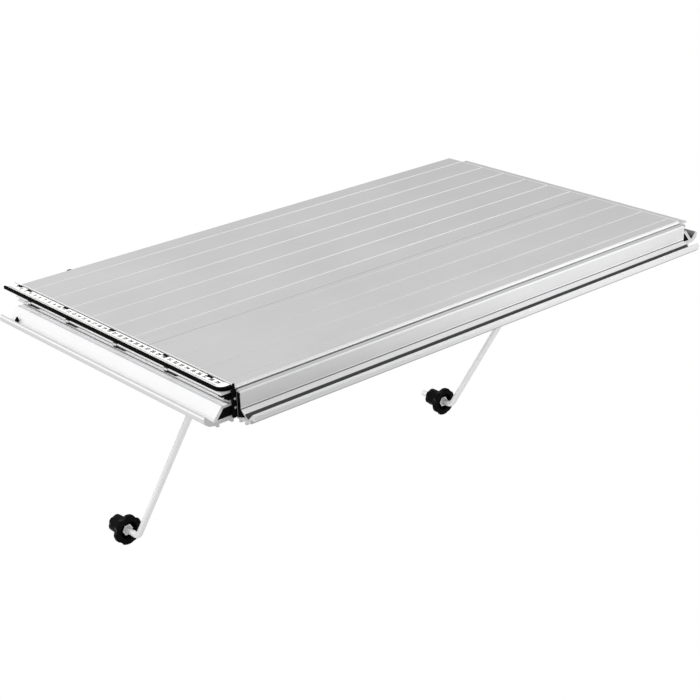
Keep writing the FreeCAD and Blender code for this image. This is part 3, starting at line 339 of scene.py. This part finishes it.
def tone_side_rails(tree):
    """The side rails: painted shade inside the right one, in its slot and at the left flange's tip, and
    painted light inside the left one, in its slot, on its step and lip and along its flange's outer edge,
    with a painted shadow in the step's inner corner.
    """
    # Painted shade inside the right flange, darker towards the bottom
    inside = tree.fade("Z", ends=(-5, 2), tones=(0.012, 0.15))
    # Painted light in the left trough and slot and on the slot's outer faces; painted shade on the right
    # flange, the left flange's tip and in the right slot
    tree.paint({
        "painted light, left trough": (grey(0.76), {"X": (-373.4, -362.1), "Z": (-6.5, 7.7)}),
        "painted shade, right flange inside": (inside, {"X": (373.8, 381.2), "Y": (-399.6, 0.0), "Z": (-6.2, HIGH)}),
        "painted shade, left flange tip": (grey(0.50), {"X": (-382.3, -381.2), "Z": (0.5, HIGH)}),
        "left slot": (grey(0.85), {"X": (-358.3, -348.6), "Y": SLOT_LENGTH, "Z": SLOT_HEIGHT}),
        "painted light, outer faces of the left slot": (grey(0.72), {"X": (-362.3, -359.8), "Z": (10.6, 21.2)}),
        "painted shade, right slot": (grey(0.13), {"X": (348.6, 358.3), "Y": SLOT_LENGTH, "Z": SLOT_HEIGHT}),
    })
    # Painted light and shade on the left step and lip, darker towards the outer side, with the metallic
    # sheen taken away
    step_top = tree.within(X=(-362.0, -353.6), Z=STEP_HEIGHT)
    lip_top = tree.within(X=(-360.4, -358.4), Z=(15.6, 16.2))
    matt_and_painted_light = tree.maths("MAXIMUM", step_top, lip_top)
    tree.tint("painted light and shade, left step and lip", matt_and_painted_light, tree.fade("X", ends=(-361.5, -355.5), tones=(0.50, 0.95)))
    tree.matt(matt_and_painted_light)
    tree.tint("painted light, top of the left lip", lip_top, grey(0.97))
    # Painted shadow in the step's inner corner and painted highlight on the left flange's outer edge
    tree.paint({
        "painted shadow, left step inner corner": (grey(0.25), {"X": (-353.9, -351.0), "Z": STEP_HEIGHT}),
        "painted highlight, left flange outer edge": (grey(0.75), {"X": (-385.0, -383.3), "Z": (-9.0, HIGH)}),
    })


GROOVE_SPACING = 40.0 * MM
FIRST_GROOVE = -385.0 * MM
GROOVED_TOP = {"X": (-344.2, 344.2), "Y": (-396.0, -3.0), "Z": (23.9, HIGH)}
# Each pair below is where a tone starts and where it is full
END_HIGHLIGHT = (343.5 * MM, 344.1 * MM)
NOSE_HIGHLIGHT = (-399.2 * MM, -399.8 * MM)
REAR_PLANK = (-255.5 * MM, -254.5 * MM)
BAND_FRONT = (-1.4 * MM, -1.2 * MM)
BAND_REAR = (1.3 * MM, 1.1 * MM)


def groove_share(tree):
    """How strong the painted highlight along the grooves is: more on the rear plank and towards the right.
    """
    across = tree.axis("X")
    behind = tree.step(tree.axis("Y"), *REAR_PLANK)
    in_front = tree.spread(across, low=0.1, high=0.48, from_low=-250 * MM, from_high=150 * MM)
    in_rear = tree.spread(across, low=0.42, high=0.85, from_low=-300 * MM, from_high=100 * MM)
    return tree.maths("ADD", in_front, tree.product(behind, tree.maths("SUBTRACT", in_rear, in_front)))


def groove_bands(tree):
    """1 in each groove and on its shoulders, from one end of the deck to the other."""
    from_start = tree.maths("ADD", tree.axis("Y"), GROOVE_SPACING / 2 - FIRST_GROOVE)
    turns = tree.maths("FRACT", tree.maths("DIVIDE", from_start, GROOVE_SPACING), 0.0)
    offset = tree.product(tree.maths("SUBTRACT", turns, 0.5), GROOVE_SPACING)
    band = tree.product(tree.step(offset, *BAND_FRONT), tree.step(offset, *BAND_REAR))
    return tree.product(tree.within(**GROOVED_TOP), band)


def tone_deck(tree):
    """The deck: painted highlights on the plank ends, on the nose and along the grooves, a painted glint on
    the nose's edge and painted shade at the seam between the planks.
    """
    from_middle = tree.maths("ABSOLUTE", tree.axis("X"), 0.0)
    # Painted highlights on the plank ends and on the nose's front
    tree.tint("painted highlight, plank ends", tree.step(from_middle, *END_HIGHLIGHT), grey(0.94))
    tree.tint("nose", tree.step(tree.axis("Y"), *NOSE_HIGHLIGHT), grey(0.76))
    # Painted glint along the nose's edge and painted shade at the seam
    tree.paint({
        "painted glint, nose edge": (grey(0.97), {"Y": (-403.0, -401.6), "Z": (22.4, 23.6)}),
        "painted shade, seam": (grey(0.40), {"Y": (-255.4, -254.7), "Z": (24.3, HIGH)}),
    })
    # Painted highlight along the grooves, stronger on the rear plank and towards the right
    tree.tint("grooves", tree.product(groove_bands(tree), groove_share(tree)), grey(0.95))


def tone_clips(tree):
    """The clips: black below and above the face of the rail's shelf, with a painted highlight where they
    cross it.
    """
    tree.paint({
        "foot": (grey(0.004), {"Z": (10.0, 18.5)}),
        "tab": (grey(0.004), {"Z": (21.2, 30.0)}),
    })


tone_front_rail(finishes["front_metal"])
tone_side_rails(finishes["side_metal"])
tone_deck(finishes["deck"])
tone_clips(finishes["clip"])

for finish, names in NODES_OF_FINISH.items():
    for name in names:
        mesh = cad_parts[name].data
        mesh.materials.clear()
        mesh.materials.append(finishes[finish].material)


# Pieces made here


def new_piece(name, build, finish, body):
    """A mesh piece filled by build(shape), with its finish and its body."""
    mesh = bpy.data.meshes.new(name)
    shape = bmesh.new()
    build(shape)
    shape.to_mesh(mesh)
    shape.free()
    mesh.materials.append(finishes[finish].material)
    piece = bpy.data.objects.new(name, mesh)
    bpy.context.scene.collection.objects.link(piece)
    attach(piece, body)


def block(shape, low, high):
    """A plain block between two corners."""
    middle = [(a + b) / 2 for a, b in zip(low, high)]
    size = [b - a for a, b in zip(low, high)]
    matrix = Matrix.Translation(middle) @ Matrix.Diagonal((*size, 1.0))
    bmesh.ops.create_cube(shape, size=1.0, matrix=matrix)


# The ruler's millimetre lines and centimetre numbers, printed on its scale

SCALE_LOW, SCALE_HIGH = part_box("ruler_scale")
DECK_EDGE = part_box("front_plank")[0].x
INK_THICKNESS = 0.04 * MM
FIRST_MARK_INSET = 4 * MM
LAST_LINE = 395
LAST_NUMBER = 39
CENTIMETRE = 10
LINE_WIDTH = 0.32 * MM
LINE_INSET = 0.5 * MM
LONG_LINE, MIDDLE_LINE, SHORT_LINE = 3.4 * MM, 2.9 * MM, 2.2 * MM
EDGE_LINE_WIDTH = 0.9 * MM
EDGE_LINE_INSET = 0.1 * MM
EDGE_LINE_NEAR_INSET, EDGE_LINE_FAR_INSET = 8 * MM, 1 * MM
NUMBER_HEIGHT = 6.0 * MM
NUMBER_BOLDNESS = 0.32 * MM
NUMBER_INSET = 7.2 * MM
NUMBER_CURVE_STEPS = 2


def mark_place(millimetres):
    """Where a mark stands along the ruler, counted from the far end."""
    return SCALE_HIGH.y - FIRST_MARK_INSET - millimetres * MM


def line_length(millimetres):
    """Long at each centimetre, shorter halfway between two, and shortest elsewhere."""
    if millimetres % CENTIMETRE == 0:
        return LONG_LINE
    if millimetres % (CENTIMETRE // 2) == 0:
        return MIDDLE_LINE
    return SHORT_LINE


def ruler_lines(shape):
    """A line for each millimetre, and one long line beside the deck."""
    bottom, top = SCALE_HIGH.z, SCALE_HIGH.z + INK_THICKNESS
    outer = SCALE_LOW.x + LINE_INSET
    half = LINE_WIDTH / 2
    for millimetres in range(1, LAST_LINE + 1):
        y = mark_place(millimetres)
        block(shape, (outer, y - half, bottom), (outer + line_length(millimetres), y + half, top))
    edge = SCALE_HIGH.x - EDGE_LINE_INSET
    near, far = SCALE_LOW.y + EDGE_LINE_NEAR_INSET, SCALE_HIGH.y - EDGE_LINE_FAR_INSET
    block(shape, (edge - EDGE_LINE_WIDTH, near, bottom), (edge, far, top))


def number_text(number):
    """A plain number as a text object, still at the origin."""
    curve = bpy.data.curves.new("number", "FONT")
    curve.body = str(number)
    curve.size = NUMBER_HEIGHT
    curve.offset = NUMBER_BOLDNESS
    curve.align_x = "CENTER"
    curve.align_y = "CENTER"
    curve.extrude = INK_THICKNESS / 2
    curve.resolution_u = NUMBER_CURVE_STEPS
    text = bpy.data.objects.new("number", curve)
    bpy.context.scene.collection.objects.link(text)
    return text


def ruler_numbers(shape):
    """Numbers that read from the ruler's own side, one every 10 mm, joined into one piece."""
    texts = {number: number_text(number) for number in range(1, LAST_NUMBER + 1)}
    bpy.context.view_layer.update()
    turned = Matrix.Rotation(math.radians(-90), 4, "Z")
    x, z = DECK_EDGE - NUMBER_INSET, SCALE_HIGH.z + INK_THICKNESS / 2
    for number, text in texts.items():
        place = (x, mark_place(number * CENTIMETRE), z)
        mesh = bpy.data.meshes.new_from_object(text)
        mesh.transform(Matrix.Translation(place) @ turned)
        shape.from_mesh(mesh)
        bpy.data.meshes.remove(mesh)
        bpy.data.objects.remove(text)


new_piece("ruler_lines", ruler_lines, "ink", "ruler")
new_piece("ruler_numbers", ruler_numbers, "ink", "ruler")


# A small black stop in the left rail's trough, near its far end, in millimetres

STOP_SECTION = ((-373.4, -5.4), (-370.6, -2.1), (-371.9, 1.9), (-375.4, -2.0))
STOP_NEAR, STOP_FAR = -33.5, -31.0
STOP_BEVEL, STOP_BEVEL_STEPS = 0.2, 2


def trough_stop(shape):
    """A wedge with softened edges: the section at its near and its far end, joined by four sides."""
    near, far = (
        [shape.verts.new((x * MM, y * MM, z * MM)) for x, z in STOP_SECTION]
        for y in (STOP_NEAR, STOP_FAR)
    )
    shape.faces.new(near)
    shape.faces.new(reversed(far))
    for index, start in enumerate(near):
        after = (index + 1) % len(STOP_SECTION)
        shape.faces.new((start, far[index], far[after], near[after]))
    bmesh.ops.recalc_face_normals(shape, faces=shape.faces)
    bmesh.ops.bevel(shape, geom=list(shape.edges), offset=STOP_BEVEL * MM, segments=STOP_BEVEL_STEPS,
                    affect="EDGES")


new_piece("trough_stop", trough_stop, "cap", "table")


# Stage: a floor and a room that are plain white to the camera, and grey or shaded to every other ray

FLOOR_HALF_SIZE = 30.0
FLOOR_HEIGHT = -2.0
FLOOR_DARK, FLOOR_LIGHT = (0.70, 0.70, 0.70), (0.74, 0.74, 0.74)
FLOOR_CLOUD = 0.8
FLOOR_ROUGHNESS = 0.9
# Sockets of the mix node that blends two shaders
SHADER_FIRST, SHADER_SECOND = 1, 2


def floor_paint():
    """Matt paint with slow clouds, and plain white where the camera looks straight at it."""
    tree = Tree("floor_paint")
    clouds = tree.spread(tree.noise(FLOOR_CLOUD), 0.0, 1.0)
    tree.link(tree.mixed(clouds, FLOOR_DARK, FLOOR_LIGHT), tree.surface.inputs["Base Color"])
    tree.surface.inputs["Roughness"].default_value = FLOOR_ROUGHNESS
    glow = tree.nodes.new("ShaderNodeEmission")
    glow.inputs["Color"].default_value = WHITE
    blend = tree.nodes.new("ShaderNodeMixShader")
    tree.link(tree.nodes.new("ShaderNodeLightPath").outputs["Is Camera Ray"], blend.inputs["Fac"])
    tree.link(tree.surface.outputs["BSDF"], blend.inputs[SHADER_FIRST])
    tree.link(glow.outputs["Emission"], blend.inputs[SHADER_SECOND])
    tree.link(blend.outputs["Shader"], tree.nodes["Material Output"].inputs["Surface"])
    return tree.material


def add_floor():
    """A wide floor far below the part, so that a view from below still sees the part."""
    mesh = bpy.data.meshes.new("floor")
    shape = bmesh.new()
    bmesh.ops.create_grid(shape, x_segments=2, y_segments=2, size=FLOOR_HALF_SIZE)
    shape.to_mesh(mesh)
    shape.free()
    floor = bpy.data.objects.new("floor", mesh)
    bpy.context.scene.collection.objects.link(floor)
    floor.location = (0, 0, FLOOR_HEIGHT)
    mesh.materials.append(floor_paint())


def light_room(direction, low, high):
    """Light from all round, which grows softly from low to high towards one direction."""
    world = bpy.data.worlds.new("studio")
    bpy.context.scene.world = world
    world.use_nodes = True
    nodes, links = world.node_tree.nodes, world.node_tree.links
    nodes["Background"].inputs["Color"].default_value = WHITE
    place = nodes.new("ShaderNodeTexCoord").outputs["Generated"]
    towards = nodes.new("ShaderNodeVectorMath")
    towards.operation = "DOT_PRODUCT"
    towards.inputs[1].default_value = Vector(direction).normalized()
    links.new(place, towards.inputs[0])
    ramp = nodes.new("ShaderNodeMapRange")
    ramp.interpolation_type = "SMOOTHSTEP"
    ramp.inputs["From Min"].default_value = -1.0
    ramp.inputs["From Max"].default_value = 1.0
    ramp.inputs["To Min"].default_value = low
    ramp.inputs["To Max"].default_value = high
    links.new(towards.outputs["Value"], ramp.inputs["Value"])
    seen = nodes.new("ShaderNodeMix")
    links.new(nodes.new("ShaderNodeLightPath").outputs["Is Camera Ray"], seen.inputs["Factor"])
    links.new(ramp.outputs["Result"], seen.inputs["A"])
    seen.inputs["B"].default_value = 1.0
    links.new(seen.outputs["Result"], nodes["Background"].inputs["Strength"])


def area_light(name, place, target, size, power):
    """A soft square lamp that shows neither to the camera nor in reflections."""
    light = bpy.data.lights.new(name, "AREA")
    light.shape = "SQUARE"
    light.size = size
    light.energy = power
    lamp = bpy.data.objects.new(name, light)
    bpy.context.scene.collection.objects.link(lamp)
    lamp.location = place
    lamp.rotation_euler = (Vector(target) - Vector(place)).to_track_quat("-Z", "Y").to_euler()
    lamp.visible_camera = False
    lamp.visible_glossy = False


add_floor()
light_room(direction=(-0.6, -0.05, 0.75), low=0.12, high=0.92)
area_light("key_light", place=(-1.6, 0.6, 1.7), target=(0, -0.2, 0), size=2.6, power=60)
area_light("fill_light", place=(0.2, -0.85, 0.1), target=(0.2, -0.4, 0), size=0.4, power=2.7)
bpy.context.scene.view_settings.view_transform = "Standard"


# Camera, fitted to the photograph

CAMERA_PLACE = (-1.2177, -1.5920, 0.6848)
ELEVATION, AZIMUTH, ROLL = (math.radians(angle) for angle in (23.04, 49.34, -1.91))
FOCAL_PIXELS = 1647.9
PHOTO_PIXELS = 700
SENSOR_WIDTH = 36.0
NEAREST, FARTHEST = 0.05, 100


def add_camera():
    """A camera that looks down by the elevation, towards the azimuth from +X, and is turned by the roll."""
    data = bpy.data.cameras.new("camera")
    camera = bpy.data.objects.new("camera", data)
    bpy.context.scene.collection.objects.link(camera)
    bpy.context.scene.camera = camera
    data.sensor_width = SENSOR_WIDTH
    data.lens = FOCAL_PIXELS / PHOTO_PIXELS * SENSOR_WIDTH
    data.clip_start = NEAREST
    data.clip_end = FARTHEST
    forward = Vector((
        math.cos(ELEVATION) * math.cos(AZIMUTH),
        math.cos(ELEVATION) * math.sin(AZIMUTH),
        -math.sin(ELEVATION),
    ))
    level = Vector((math.sin(AZIMUTH), -math.cos(AZIMUTH), 0))
    upward = level.cross(forward)
    right = level * math.cos(ROLL) + upward * math.sin(ROLL)
    up = upward * math.cos(ROLL) - level * math.sin(ROLL)
    turn = Matrix((right, up, -forward)).transposed().to_4x4()
    camera.matrix_world = Matrix.Translation(CAMERA_PLACE) @ turn


add_camera()
